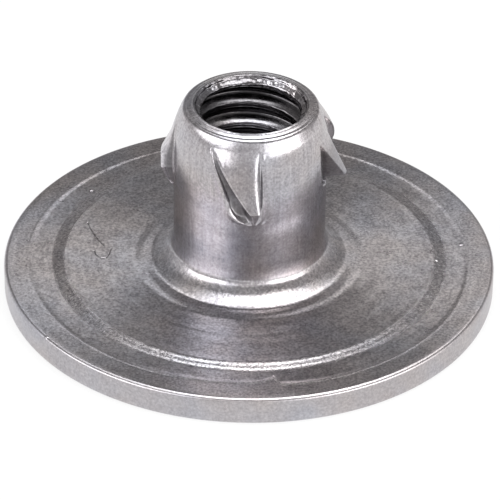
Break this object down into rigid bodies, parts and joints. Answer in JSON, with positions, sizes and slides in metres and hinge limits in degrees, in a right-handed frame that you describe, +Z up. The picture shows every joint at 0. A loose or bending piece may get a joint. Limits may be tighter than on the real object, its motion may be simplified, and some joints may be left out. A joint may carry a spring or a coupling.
{
  "type": "tee nut",
  "caption": "Round-base tee nut: a thin ringed flange with a short threaded barrel whose slanting barbs grip the wall of a drilled hole.",
  "frame": {"origin": "centre of the flange's flat underside, on the barrel's axis", "axes": "+Z runs up the barrel's axis, from the underside of the flange to the mouth of the barrel; -Y points at the first barb"},
  "size_m": [0.026, 0.026, 0.011],
  "materials": {
    "zinc_plated_steel": "satin"
  },
  "bodies": {
    "root": {"tee_nut": "zinc_plated_steel"}
  },
  "joints": []
}
